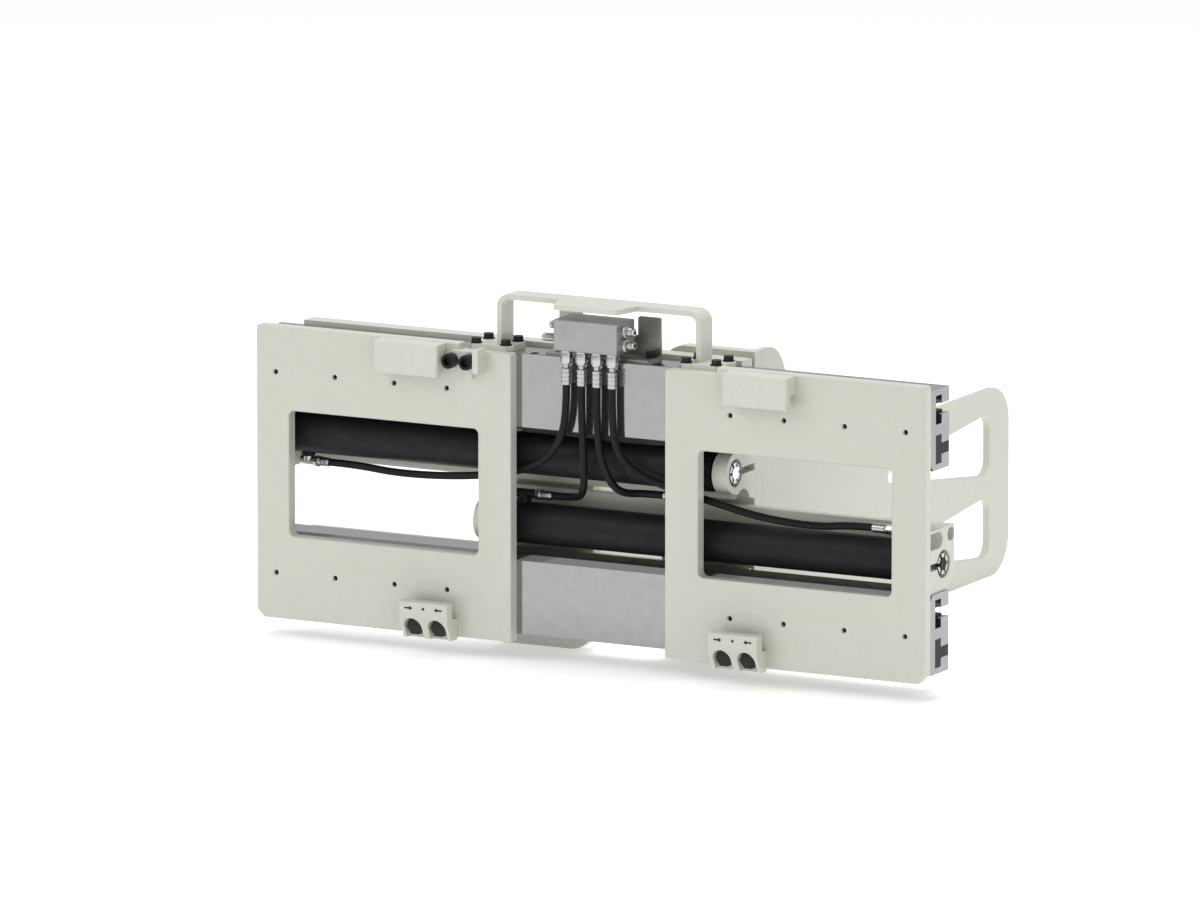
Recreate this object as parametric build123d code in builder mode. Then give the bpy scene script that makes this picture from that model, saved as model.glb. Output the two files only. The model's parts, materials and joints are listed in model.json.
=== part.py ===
from build123d import *
import math
import os

# Carriage-mounted hydraulic squeeze clamp, closed. Millimetres.
# +X runs along the rails, +Y points from the truck towards the load, +Z is up.
# The origin is on the rear faces of the frame plates, mid-width and mid-height.

# ---------------------------------------------------------------- driving dimensions
# frame plates
frame_width = 1170
plate_gap = 270
plate_height = 466
plate_thick = 20
plate_step = 10
plate_step_length = 90
plate_corner = 5
plate_foot_chamfer = 12
window_width = 335
window_height = 200
window_corner = 9
edge_break = 1.5

# T-slot rails
rail_depth = 63
rail_height = 126
rail_bevel = 9
rail_edge = 1
slot_spread = 31
cavity_height = 45
cavity_depth = 20
web_depth = 17
mouth_height = 17.4
liner_thick = 3
stop_thick = 12
stop_gap = 0.4

# screws between plates and rails
rail_screw_offsets = (34, 139, 244, 337)
rail_screw_dia = 8
rail_screw_head = 13
rail_screw_head_height = 8
rail_screw_recess = 6
rail_screw_sink = 1
rail_screw_socket = 6
rail_screw_socket_depth = 4
thread_gap = 0.1
head_gap = 0.4

# lifting holes in the top rail
lifting_hole_dia = 14
lifting_hole_depth = 25
lifting_hole_x = (-107, 113)

# carriage hooks, 407 mm between the carriage bars' bearing edges
carriage_height = 407
hook_width = 112
hook_centre = 305
hook_top = 28
hook_lip = 15
hook_bar_gap = 15
hook_lip_drop = 23
clamp_hook_width = 84
clamp_hook_x = (-271, 271)
clamp_hook_depth = 35
clamp_lip_thick = 18
clamp_lip_rise = 27
clamp_hook_drop = 33
clamp_nose_drop = 3
clamp_foot_depth = 20
clamp_web = 13
clamp_bolt_pitch = 42
clamp_bolt_drop = 15
clamp_pocket_dia = 31
bolt_16 = 16
head_16 = 24
head_16_height = 10
bolt_16_short = 2
cap_head_height = 14
cap_head_socket = 14
cap_head_socket_depth = 7

# locating latch beside the left upper hook
latch_left = -243
latch_right = -179
latch_thick = 12
latch_level = 208
latch_height = 31
latch_tab_width = 9.5
latch_tab_depth = 26
latch_tab_overhang = 4
latch_round = 12
latch_stop_width = 12
latch_stop_drop = 13
latch_stop_inset = 24
latch_bolt_x = (-232, -201.5)

# guard bar over the flow divider
guard_span = 356
guard_rise = 87
guard_width = 40
guard_thick = 8
guard_bend = 20
guard_tab_root = 68
guard_tab_nose = 55
guard_tab_depth = 47
foot_length = 78
foot_depth = 60
foot_thick = 8
foot_chamfer = 10
foot_x = 184
foot_bolt_dia = 8
foot_bolt_head = 15
foot_bolt_head_height = 7
foot_washer_dia = 19
foot_washer_thick = 1.6
foot_bolt_spread = 26
foot_bolt_depth = 16
foot_bolt_edge = 13

# flow divider and its bracket
divider_length = 110
divider_depth = 62
divider_height = 49
divider_rear = -9
divider_lift = 15
sheet_thick = 4
bracket_width = 178
bracket_height = 64
ear_width = 40
bracket_middle_height = 34
bracket_rear = 30
bracket_bend = 5
bracket_edge = 3
bracket_bolt_x = 79
ear_round = 4
standoff_spots = ((-30, 40), (30, 40))
standoff_dia = 18
divider_port_depth = 16
adapter_hex = 19
adapter_hex_length = 8
adapter_dia = 13
adapter_bore = 7
adapter_nose = {"upper": 13, "lower": 26}
adapter_rise = {"upper": 35, "lower": 14}
adapter_y = {"left": 22, "right": 14}

# hoses and their ends
hose_dia = 12
hose_pitch = 26.7
hose_y = 6
swivel_hex = 17
swivel_length = 22
port_swivel_hex = 16
ferrule_dia = 15
ferrule_neck_dia = 10
ferrule_neck = 6
ferrule_length = 27
port_level = 9

# cylinders
cylinder_y = 71
port_boss_length = 5.5
barrel_outer = 65
barrel_bore = 50
barrel_nose = 185
boss_wall_gap = 1
cap_length = 12
spigot_length = 10
gland_flange = 6
gland_length = 28
rod_dia = 32
stud_dia = 20
fit_gap = 0.05
piston_length = 40
piston_start = 20
ring_width = 6
ring_depth = 3
wiper_width = 4
wiper_dia = 42
gland_step = 3
ring_inset = 8
base_port_inset = 14
rod_port_inset = 37
port_boss_dia = 22
port_bore = 8
elbow_dia = 16
elbow_body_dia = 14
end_reach = {"nose": 12, "rod": (22, 32, 50), "upper_base": (12, 24, 38), "lower_base": (26, 48, 70)}

# brackets that hold the cylinders
bracket_thick = 25
base_bracket_inset = 3
base_bracket_depth = 88
base_bracket_top = 2
nut_recess_dia = 44
nut_recess_depth = 15
nut_hex = 32
nut_height = 14
castle_slot = 5
castle_depth = 5
nut_slot = 11
pocket_height = 26
pocket_depth = 48
pocket_lip = 4
side_hole_dia = 22
side_hole_edge = 12
bracket_slope = 26
side_hole_rise = 2
boss_dia = 65
rod_bracket_bottom = 5
rod_notch_dia = 48
rod_notch_forward = 24
rod_notch_drop = 3
rod_bracket_heel = 8

# arms
arm_half_gap = 210
arm_plate_thick = 12
arm_reach = 1028
arm_bottom = -264
arm_top = 40
arm_tip_radius = 60
arm_tip_width = 70
window_tip_radius = 24
window_apex_radius = 12
arm_windows = {"upper": ((504, -40), 2, -100), "lower": ((497, -178), -132, -233)}
root_slope_start = 56
root_slope_run = 115
root_radius = 60
throat_radius = 120
column_thick = 24
column_width = 162
column_gap = 9
column_top = {"right": 235, "left": 182}
shoulder_radius = 40
bar_face_gap = 9
bar_thick = 34
bar_short = 35
outer_bar_height = 68
inner_bar_height = 51
inner_bar_rise = 0.5
outer_bar_rise = 3
bar_edge = 4
wear_gap = 0.4
mid_plate_thick = 16
mid_plate_low = 4
mid_plate_high = 96
mid_plate_short = 20
pad_length = 60
pad_margin = 8
pad_inset = 5

# ---------------------------------------------------------------- worked-out values
half_width = frame_width / 2
half_gap = plate_gap / 2
rail_level = plate_height / 2 - plate_step - rail_height / 2
plate_middle = (half_width + half_gap) / 2
rail_rear = plate_thick
rail_front = rail_rear + rail_depth
rail_top = rail_level + rail_height / 2
cavity_rear = rail_rear + web_depth
cavity_front = cavity_rear + cavity_depth
slot_levels = {
    "top_outer": rail_level + slot_spread,
    "top_inner": rail_level - slot_spread,
    "bottom_inner": -rail_level + slot_spread,
    "bottom_outer": -rail_level - slot_spread,
}
screw_x = [side * (half_width - d) for side in (-1, 1) for d in rail_screw_offsets]
seat_level = carriage_height / 2
guard_top = rail_top + guard_rise
divider_bottom = rail_top + divider_lift
hose_top = divider_bottom - swivel_length - ferrule_neck - ferrule_length
cylinder_level = port_level + elbow_dia / 2 + port_boss_length + barrel_outer / 2
hose_x = [hose_pitch * n for n in (-1.5, -0.5, 0.5, 1.5)]
arm_outer = arm_half_gap + arm_plate_thick
bar_rear = rail_front + bar_face_gap
bar_front = bar_rear + bar_thick
column_rear = bar_front + column_gap
column_front = column_rear + column_thick
bracket_inner = arm_outer - bracket_thick
base_bracket_outer = half_width - base_bracket_inset
base_bracket_inner = base_bracket_outer - bracket_thick
barrel_base = base_bracket_inner - cap_length
base_port_x = barrel_base - base_port_inset
rod_port_x = barrel_nose - rod_port_inset
bar_end = half_width - bar_short
mid_plate_end = half_width - mid_plate_short
outer_bar_level = rail_level + slot_spread + outer_bar_rise
inner_bar_level = rail_level - slot_spread + inner_bar_rise
foot_top = rail_top + foot_thick
foot_bolt_y = (rail_rear + web_depth / 2, rail_front - foot_bolt_edge)
bracket_front = rail_front - bracket_edge
guard_rear = rail_rear + web_depth
bracket_bolt_y = bracket_front - sheet_thick - bracket_bend - foot_washer_dia / 2
outer_bar = (outer_bar_level - outer_bar_height / 2, outer_bar_level + outer_bar_height / 2)
inner_bar = (inner_bar_level - inner_bar_height / 2, inner_bar_level + inner_bar_height / 2)

os.makedirs("parts", exist_ok=True)


def save(piece, name):
    """Label a finished piece and write its STEP file."""
    piece.part.label = name
    export_step(piece.part, f"parts/{name}.step")


def rearward(y):
    """A sketch plane at depth y that faces the truck, with +X right and +Z up."""
    return Plane.XZ.offset(-y)


def half_turn(piece, name):
    """Save the same piece turned half a turn about Y, for the other side."""
    with BuildPart() as turned:
        add(piece.part.rotate(Axis.Y, 180))
    save(turned, name)


def box_between(low, high):
    """Add a box from its lowest to its highest corner to the piece being built."""
    size = [b - a for a, b in zip(low, high)]
    middle = [(a + b) / 2 for a, b in zip(low, high)]
    with Locations(tuple(middle)):
        Box(*size)


# ---------------------------------------------------------------- frame plates
def frame_plate(side, name):
    inner = side * half_gap
    outer = side * half_width
    top = plate_height / 2
    step_end = inner + side * plate_step_length
    with BuildPart() as plate:
        with BuildSketch(rearward(plate_thick)):
            with BuildLine():
                Polyline(
                    (inner, -top),
                    (outer - side * plate_foot_chamfer, -top),
                    (outer, -top + plate_foot_chamfer),
                    (outer, top),
                    (step_end, top),
                    (step_end, top - plate_step),
                    (inner, top - plate_step),
                    close=True,
                )
            outline = make_face()
            corners = outline.vertices().filter_by(lambda v: v.Y > 0 and abs(v.X - step_end) > 1)
            fillet(corners, plate_corner)
            with Locations((side * plate_middle, 0)):
                RectangleRounded(window_width, window_height, window_corner, mode=Mode.SUBTRACT)
        extrude(amount=plate_thick)
        chamfer(plate.faces().sort_by(Axis.Y)[0].edges(), edge_break)
        rear = Plane.XZ
        with Locations(*[rear.location * Location((x, z, 0)) for x in screw_x if x * side > 0
                         for z in (-rail_level, rail_level)]):
            Hole(rail_screw_dia / 2 + thread_gap, depth=plate_thick)
        mouths = plate.edges().filter_by(GeomType.CIRCLE).filter_by(
            lambda e: abs(e.radius - rail_screw_dia / 2 - thread_gap) < 0.01 and e.center().Y < 1
        )
        chamfer(mouths, 1)
        clamp_x = clamp_hook_x[0] if side < 0 else clamp_hook_x[1]
        bolts = [(clamp_x + s * clamp_bolt_pitch / 2, -seat_level - clamp_bolt_drop) for s in (-1, 1)]
        if side < 0:
            bolts += [(x, latch_level) for x in latch_bolt_x]
        with Locations(*[rear.location * Location((x, z, 0)) for x, z in bolts]):
            Hole(bolt_16 / 2 + thread_gap, depth=plate_thick)
    save(plate, name)


frame_plate(-1, "left_frame_plate")
frame_plate(1, "right_frame_plate")


# ---------------------------------------------------------------- rails, liners, stops
def rail(level, name, lifting):
    with BuildPart() as piece:
        with BuildSketch(Plane.YZ.offset(-half_width)):
            with Locations(((rail_rear + rail_front) / 2, level)):
                outline = Rectangle(rail_depth, rail_height)
            inner_level = level - math.copysign(rail_height / 2, level)
            inner_rear = outline.vertices().sort_by_distance((rail_rear, inner_level))[0]
            others = outline.vertices() - [inner_rear]
            chamfer(inner_rear, rail_bevel)
            chamfer(others, rail_edge)
            for slot in (level - slot_spread, level + slot_spread):
                with Locations(((cavity_rear + cavity_front) / 2, slot)):
                    Rectangle(cavity_depth, cavity_height, mode=Mode.SUBTRACT)
                with Locations(((cavity_front + rail_front) / 2, slot)):
                    Rectangle(rail_front - cavity_front, mouth_height, mode=Mode.SUBTRACT)
        extrude(amount=frame_width)
        front = Plane(origin=(0, rail_front, 0), x_dir=(1, 0, 0), z_dir=(0, 1, 0))
        with Locations(*[front.location * Location((x, -level, 0)) for x in screw_x]):
            CounterBoreHole(
                rail_screw_dia / 2 + thread_gap,
                rail_screw_head / 2 + head_gap,
                rail_screw_head_height + rail_screw_sink,
                depth=rail_depth,
            )
        if lifting:
            with Locations(*[(x, rail_rear + web_depth / 2, rail_top) for x in lifting_hole_x]):
                Hole(lifting_hole_dia / 2, depth=lifting_hole_depth)
            feet = [
                (s * foot_x + t * foot_bolt_spread, y, rail_top)
                for s in (-1, 1) for t in (-1, 1) for y in foot_bolt_y
            ]
            with Locations(*feet, *[(s * bracket_bolt_x, bracket_bolt_y, rail_top) for s in (-1, 1)]):
                Hole(foot_bolt_dia / 2 + thread_gap, depth=foot_bolt_depth)
    save(piece, name)


rail(rail_level, "top_rail", True)
rail(-rail_level, "bottom_rail", False)

with BuildPart() as liners:
    with BuildSketch(Plane.YZ.offset(-half_width + stop_thick)):
        for level in slot_levels.values():
            for up in (-1, 1):
                with BuildLine():
                    Polyline(
                        (cavity_rear, level + up * cavity_height / 2),
                        (cavity_front, level + up * cavity_height / 2),
                        (cavity_front, level + up * mouth_height / 2),
                        (rail_front, level + up * mouth_height / 2),
                        (rail_front, level + up * (mouth_height / 2 - liner_thick)),
                        (cavity_front - liner_thick, level + up * (mouth_height / 2 - liner_thick)),
                        (cavity_front - liner_thick, level + up * (cavity_height / 2 - liner_thick)),
                        (cavity_rear, level + up * (cavity_height / 2 - liner_thick)),
                        close=True,
                    )
                make_face()
    extrude(amount=frame_width - 2 * stop_thick)
save(liners, "slot_liners")

with BuildPart() as stops:
    for slot, level in slot_levels.items():
        side = -1 if slot in ("top_outer", "bottom_inner") else 1
        start = half_width - stop_thick if side > 0 else -half_width
        with BuildSketch(Plane.YZ.offset(start)):
            with Locations(((cavity_rear + cavity_front) / 2, level)):
                Rectangle(cavity_depth - stop_gap, cavity_height - stop_gap)
            with Locations(((cavity_front + rail_front) / 2 - stop_gap, level)):
                Rectangle(rail_front - cavity_front, mouth_height - stop_gap)
        extrude(amount=stop_thick)
save(stops, "slot_stop_blocks")

with BuildPart() as screws:
    for x in screw_x:
        for level in (-rail_level, rail_level):
            seat = rail_front - rail_screw_head_height - rail_screw_sink
            socket_floor = seat + rail_screw_head_height - rail_screw_socket_depth
            with BuildSketch(rearward(seat + rail_screw_head_height)):
                with Locations((x, level)):
                    Circle(rail_screw_head / 2)
                    RegularPolygon(rail_screw_socket / 2, 6, mode=Mode.SUBTRACT)
            extrude(amount=rail_screw_socket_depth)
            with BuildSketch(rearward(socket_floor)):
                with Locations((x, level)):
                    Circle(rail_screw_head / 2)
            extrude(amount=socket_floor - seat)
            with BuildSketch(rearward(seat)):
                with Locations((x, level)):
                    Circle(rail_screw_dia / 2)
            extrude(amount=seat - rail_screw_recess)
save(screws, "rail_screws")

# ---------------------------------------------------------------- carriage hooks
with BuildPart() as upper_hooks:
    for side in (-1, 1):
        with BuildSketch(Plane.YZ.offset(side * hook_centre - hook_width / 2)):
            with BuildLine():
                Polyline(
                    (0, seat_level),
                    (0, seat_level + hook_top),
                    (-hook_bar_gap - hook_lip, seat_level + hook_top),
                    (-hook_bar_gap - hook_lip, seat_level - hook_lip_drop),
                    (-hook_bar_gap, seat_level - hook_lip_drop),
                    (-hook_bar_gap, seat_level),
                    close=True,
                )
            make_face()
        extrude(amount=hook_width)
    chamfer(upper_hooks.faces().filter_by(Axis.Y).group_by(Axis.Y)[0].edges(), 2)
save(upper_hooks, "upper_hooks")

with BuildPart() as lower_hooks:
    for centre in clamp_hook_x:
        with BuildSketch(Plane.YZ.offset(centre - clamp_hook_width / 2)):
            with BuildLine():
                Polyline(
                    (0, -seat_level),
                    (0, -seat_level - clamp_hook_drop),
                    (-clamp_foot_depth, -seat_level - clamp_hook_drop),
                    (-clamp_hook_depth, -seat_level - clamp_nose_drop),
                    (-clamp_hook_depth, -seat_level + clamp_lip_rise),
                    (-clamp_hook_depth + clamp_lip_thick, -seat_level + clamp_lip_rise),
                    (-clamp_hook_depth + clamp_lip_thick, -seat_level),
                    close=True,
                )
            make_face()
        extrude(amount=clamp_hook_width)
    chamfer(lower_hooks.edges().filter_by(Axis.X).group_by(Axis.Y)[0], 1.5)
    bolt_level = -seat_level - clamp_bolt_drop
    bolt_spots = [(x + s * clamp_bolt_pitch / 2, bolt_level) for x in clamp_hook_x for s in (-1, 1)]
    with BuildSketch(rearward(-clamp_web)):
        for x, z in bolt_spots:
            with Locations((x, z)):
                Circle(clamp_pocket_dia / 2)
            with Locations((x, z - clamp_hook_drop / 2)):
                Rectangle(clamp_pocket_dia, clamp_hook_drop)
    extrude(amount=clamp_hook_depth, mode=Mode.SUBTRACT)
    with BuildSketch(rearward(0)):
        with Locations(*bolt_spots):
            Circle(bolt_16 / 2 + thread_gap)
    extrude(amount=clamp_web, mode=Mode.SUBTRACT)
save(lower_hooks, "lower_hooks")


def hex_bolt(x, z, seat, head, height, shank, length):
    """A hex bolt along Y with its head towards the truck, added to the piece being built."""
    with BuildSketch(rearward(seat)) as hexagon:
        with Locations((x, z)):
            RegularPolygon(head / 2, 6, major_radius=False)
    extrude(hexagon.sketch, amount=height)
    with BuildSketch(rearward(seat + length)) as round_shank:
        with Locations((x, z)):
            Circle(shank / 2)
    extrude(round_shank.sketch, amount=length)


with BuildPart() as clamp_bolts:
    for x, z in bolt_spots:
        hex_bolt(x, z, -clamp_web, head_16, head_16_height, bolt_16, clamp_web + plate_thick - bolt_16_short)
save(clamp_bolts, "lower_hook_bolts")

# ---------------------------------------------------------------- locating latch
with BuildPart() as latch:
    with BuildSketch(rearward(0)):
        with Locations(((latch_left + latch_right) / 2, latch_level)):
            slab = Rectangle(latch_right - latch_left, latch_height)
        fillet(slab.vertices().group_by(Axis.X)[0], latch_round)
        stop_middle = latch_level - latch_height / 2 - latch_stop_width / 2
        with Locations((latch_right - latch_stop_inset, stop_middle)):
            Rectangle(latch_stop_width, latch_stop_drop)
    extrude(amount=latch_thick)
    with BuildSketch(rearward(0)):
        with Locations((latch_right - latch_tab_width / 2, latch_level + latch_tab_overhang / 2)):
            Rectangle(latch_tab_width, latch_height + 2 * latch_tab_overhang)
    extrude(amount=latch_tab_depth)
    chamfer(latch.edges().filter_by(Axis.X).group_by(Axis.Y)[0], 3)
    with BuildSketch(rearward(0)):
        with Locations(*[(x, latch_level) for x in latch_bolt_x]):
            Circle(bolt_16 / 2 + thread_gap)
    extrude(amount=latch_thick, mode=Mode.SUBTRACT)
save(latch, "locating_latch")

with BuildPart() as latch_bolts:
    for x in latch_bolt_x:
        with BuildSketch(rearward(-latch_thick)):
            with Locations((x, latch_level)):
                Circle(head_16 / 2)
        extrude(amount=cap_head_height)
        with BuildSketch(rearward(-latch_thick - cap_head_height + cap_head_socket_depth)):
            with Locations((x, latch_level)):
                RegularPolygon(cap_head_socket / 2, 6, major_radius=False)
        extrude(amount=cap_head_socket_depth, mode=Mode.SUBTRACT)
        with BuildSketch(rearward(plate_thick - bolt_16_short)):
            with Locations((x, latch_level)):
                Circle(bolt_16 / 2)
        extrude(amount=latch_thick + plate_thick - bolt_16_short)
    heads = latch_bolts.faces().filter_by(Axis.Y).group_by(Axis.Y)[0]
    chamfer(heads.edges().filter_by(GeomType.CIRCLE), 1)
save(latch_bolts, "latch_bolts")

# ---------------------------------------------------------------- guard bar
with BuildPart() as guard:
    with BuildSketch(rearward(guard_rear + guard_width)):
        with Locations((0, (guard_top + foot_top) / 2)):
            outer = Rectangle(guard_span, guard_top - foot_top)
        fillet(outer.vertices().group_by(Axis.Y)[-1], guard_bend)
        with BuildSketch(rearward(guard_rear + guard_width), mode=Mode.SUBTRACT):
            with Locations((0, (guard_top + foot_top) / 2 - guard_thick)):
                inner = Rectangle(guard_span - 2 * guard_thick, guard_top - foot_top)
            fillet(inner.vertices().group_by(Axis.Y)[-1], guard_bend - guard_thick)
    extrude(amount=guard_width)
    with BuildSketch(Plane.XY.offset(guard_top - guard_thick)):
        with BuildLine():
            Polyline(
                (-guard_tab_root, guard_rear),
                (-guard_tab_nose, guard_rear - guard_tab_depth),
                (guard_tab_nose, guard_rear - guard_tab_depth),
                (guard_tab_root, guard_rear),
                close=True,
            )
        tab = make_face()
        fillet(tab.vertices().group_by(Axis.Y)[0], 8)
    extrude(amount=guard_thick)
save(guard, "valve_guard_bar")

foot_y = (foot_bolt_y[0] + foot_bolt_y[1]) / 2
foot_bolt_spots = [
    (s * foot_x + t * foot_bolt_spread, y) for s in (-1, 1) for t in (-1, 1) for y in foot_bolt_y
]
with BuildPart() as feet:
    with BuildSketch(Plane.XY.offset(rail_top)):
        for side in (-1, 1):
            with Locations((side * foot_x, foot_y)):
                foot = Rectangle(foot_length, foot_depth)
            chamfer(foot.vertices(), foot_chamfer)
        with Locations(*foot_bolt_spots):
            Circle(foot_bolt_dia / 2 + thread_gap, mode=Mode.SUBTRACT)
    extrude(amount=foot_thick)
save(feet, "guard_feet")


def deck_bolts(spots, seat, name):
    """Hex bolts with washers, standing on a deck at height seat."""
    with BuildPart() as bolts:
        for spot in spots:
            with BuildSketch(Plane.XY.offset(seat)):
                with Locations(spot):
                    Circle(foot_washer_dia / 2)
            extrude(amount=foot_washer_thick)
            with BuildSketch(Plane.XY.offset(seat + foot_washer_thick)):
                with Locations(spot):
                    RegularPolygon(foot_bolt_head / 2, 6, major_radius=False)
            extrude(amount=foot_bolt_head_height)
            with BuildSketch(Plane.XY.offset(rail_top - foot_bolt_depth + 1)):
                with Locations(spot):
                    Circle(foot_bolt_dia / 2)
            extrude(amount=seat - rail_top + foot_bolt_depth - 1)
    save(bolts, name)


deck_bolts(foot_bolt_spots, foot_top, "guard_foot_bolts")

# ---------------------------------------------------------------- flow divider
divider_front = divider_rear + divider_depth
divider_ports = [(x, hose_y) for x in hose_x]
with BuildPart() as divider:
    box_between(
        (-divider_length / 2, divider_rear, divider_bottom),
        (divider_length / 2, divider_front, divider_bottom + divider_height),
    )
    chamfer(divider.edges(), 1.2)
    with BuildSketch(Plane.XY.offset(divider_bottom)):
        with Locations(*divider_ports):
            Circle(port_bore / 2)
    extrude(amount=divider_port_depth, mode=Mode.SUBTRACT)
save(divider, "flow_divider_block")

with BuildPart() as bracket:
    with BuildSketch(Plane.YZ.offset(-bracket_width / 2)):
        with BuildLine():
            Polyline(
                (bracket_rear, rail_top),
                (bracket_front, rail_top),
                (bracket_front, rail_top + bracket_height),
                (bracket_front - sheet_thick, rail_top + bracket_height),
                (bracket_front - sheet_thick, rail_top + sheet_thick),
                (bracket_rear, rail_top + sheet_thick),
                close=True,
            )
        make_face()
    extrude(amount=bracket_width)
    fillet(bracket.edges().filter_by(Axis.X).group_by(Axis.Y)[-1].sort_by(Axis.Z)[0], bracket_bend)
    with BuildSketch(rearward(bracket_front)):
        with Locations((0, rail_top + bracket_middle_height + bracket_height / 2)):
            Rectangle(bracket_width - 2 * ear_width, bracket_height)
    extrude(amount=sheet_thick, mode=Mode.SUBTRACT)
    ear_tops = bracket.edges().filter_by(Axis.Y).group_by(Axis.Z)[-1]
    fillet(ear_tops, ear_round)
    with BuildSketch(Plane.XY.offset(rail_top + sheet_thick)):
        with Locations(*standoff_spots):
            Circle(standoff_dia / 2)
    extrude(amount=divider_bottom - rail_top - sheet_thick)
    with BuildSketch(Plane.XY.offset(rail_top)):
        with Locations(*[(s * bracket_bolt_x, bracket_bolt_y) for s in (-1, 1)]):
            Circle(foot_bolt_dia / 2 + thread_gap)
    extrude(amount=sheet_thick, mode=Mode.SUBTRACT)
save(bracket, "divider_bracket")
deck_bolts([(s * bracket_bolt_x, bracket_bolt_y) for s in (-1, 1)], rail_top + sheet_thick, "divider_bolts")

with BuildPart() as adapters:
    for side, sign in (("left", -1), ("right", 1)):
        for row in ("upper", "lower"):
            level = divider_bottom + adapter_rise[row]
            nose = adapter_nose[row] if side == "left" else adapter_nose["upper"]
            start = sign * divider_length / 2
            face = Plane(origin=(start, adapter_y[side], level), x_dir=(0, 1, 0), z_dir=(sign, 0, 0))
            with BuildSketch(face):
                RegularPolygon(adapter_hex / 2, 6, major_radius=False)
            extrude(amount=adapter_hex_length)
            with BuildSketch(face.offset(adapter_hex_length)):
                Circle(adapter_dia / 2)
            extrude(amount=nose)
            with BuildSketch(face):
                Circle(adapter_bore / 2)
            extrude(amount=adapter_hex_length + nose, mode=Mode.SUBTRACT)
save(adapters, "supply_adapters")

# ---------------------------------------------------------------- cylinders
# The upper cylinder stands with its base to -X; the lower one is the same half a turn round.
cylinder_axis = Plane(origin=(0, cylinder_y, cylinder_level), x_dir=(0, 1, 0), z_dir=(1, 0, 0))


def round_between(start, end, diameter, mode=Mode.ADD):
    """A round of this diameter on the upper cylinder's axis, from x = start to x = end."""
    with BuildSketch(cylinder_axis.offset(start)) as disc:
        Circle(diameter / 2)
    extrude(disc.sketch, amount=end - start, mode=mode)


with BuildPart() as barrel:
    round_between(-barrel_base, barrel_nose, barrel_outer)
    for x in (-base_port_x, rod_port_x):
        with BuildSketch(Plane.XY.offset(port_level + elbow_dia / 2)):
            with Locations((x, cylinder_y)):
                Circle(port_boss_dia / 2)
        extrude(amount=cylinder_level - barrel_bore / 2 - port_level - elbow_dia / 2 - boss_wall_gap)
    round_between(-barrel_base, barrel_nose, barrel_bore, Mode.SUBTRACT)
    for x in (-base_port_x, rod_port_x):
        with BuildSketch(Plane.XY.offset(port_level + elbow_dia / 2)):
            with Locations((x, cylinder_y)):
                Circle(port_bore / 2)
        extrude(amount=cylinder_level - port_level - elbow_dia, mode=Mode.SUBTRACT)
save(barrel, "upper_barrel")
half_turn(barrel, "lower_barrel")

with BuildPart() as cap:
    round_between(-base_bracket_inner, -barrel_base, barrel_outer)
    round_between(-barrel_base, -barrel_base + spigot_length, barrel_bore)
    round_between(-base_bracket_outer, -base_bracket_inner, stud_dia)
save(cap, "upper_base_cap")
half_turn(cap, "lower_base_cap")

gland_end = barrel_nose + gland_flange
with BuildPart() as gland:
    round_between(barrel_nose - gland_length, barrel_nose, barrel_bore)
    round_between(barrel_nose, gland_end, barrel_outer - gland_step)
    round_between(barrel_nose - gland_length, gland_end, rod_dia + 2 * fit_gap, Mode.SUBTRACT)
    round_between(gland_end - wiper_width, gland_end, wiper_dia, Mode.SUBTRACT)
save(gland, "upper_gland")
half_turn(gland, "lower_gland")

with BuildPart() as wiper:
    round_between(gland_end - wiper_width, gland_end, wiper_dia)
    round_between(gland_end - wiper_width, gland_end, rod_dia + 2 * fit_gap, Mode.SUBTRACT)
with BuildPart() as wipers:
    add(wiper.part)
    add(wiper.part.rotate(Axis.Y, 180))
save(wipers, "rod_wipers")

piston_rear = -barrel_base + piston_start
rod_end = bracket_inner
nut_seat = arm_outer - nut_recess_depth
with BuildPart() as rod:
    round_between(piston_rear, rod_end, rod_dia)
    round_between(rod_end, arm_outer, stud_dia)
save(rod, "right_piston_rod")
half_turn(rod, "left_piston_rod")

ring_starts = [piston_rear + ring_inset, piston_rear + piston_length - ring_inset - ring_width]
with BuildPart() as piston:
    round_between(piston_rear, piston_rear + piston_length, barrel_bore - 4 * fit_gap)
    for start in ring_starts:
        round_between(start, start + ring_width, barrel_bore + 1, Mode.SUBTRACT)
    for start in ring_starts:
        round_between(start, start + ring_width, barrel_bore - 2 * ring_depth)
    round_between(piston_rear, piston_rear + piston_length, rod_dia, Mode.SUBTRACT)
save(piston, "right_piston")
half_turn(piston, "left_piston")

with BuildPart() as rings:
    for start in ring_starts:
        round_between(start, start + ring_width, barrel_bore - 2 * fit_gap)
        round_between(start, start + ring_width, barrel_bore - 2 * ring_depth, Mode.SUBTRACT)
save(rings, "right_piston_rings")
half_turn(rings, "left_piston_rings")


def castle_nut(x, sign):
    """A castle nut on the upper cylinder's axis, seated at x and facing sign."""
    crown = x + sign * nut_height
    low, high = sorted((x, crown))
    with BuildSketch(cylinder_axis.offset(low)) as hexagon:
        RegularPolygon(nut_hex / 2, 6, major_radius=False)
    extrude(hexagon.sketch, amount=high - low)
    round_between(low, high, stud_dia, Mode.SUBTRACT)
    slot_low, slot_high = sorted((crown - sign * castle_depth, crown))
    with BuildSketch(cylinder_axis.offset(slot_low)) as slots:
        for angle in (0, 60, 120):
            Rectangle(nut_hex * 2, castle_slot, rotation=angle)
    extrude(slots.sketch, amount=slot_high - slot_low, mode=Mode.SUBTRACT)


with BuildPart() as rod_nut:
    castle_nut(nut_seat, 1)
save(rod_nut, "right_rod_nut")
half_turn(rod_nut, "left_rod_nut")

base_nut_seat = -base_bracket_outer + nut_recess_depth
with BuildPart() as base_nut:
    castle_nut(base_nut_seat, -1)
with BuildPart() as base_nuts:
    add(base_nut.part)
    add(base_nut.part.rotate(Axis.Y, 180))
save(base_nuts, "base_nuts")

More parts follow.
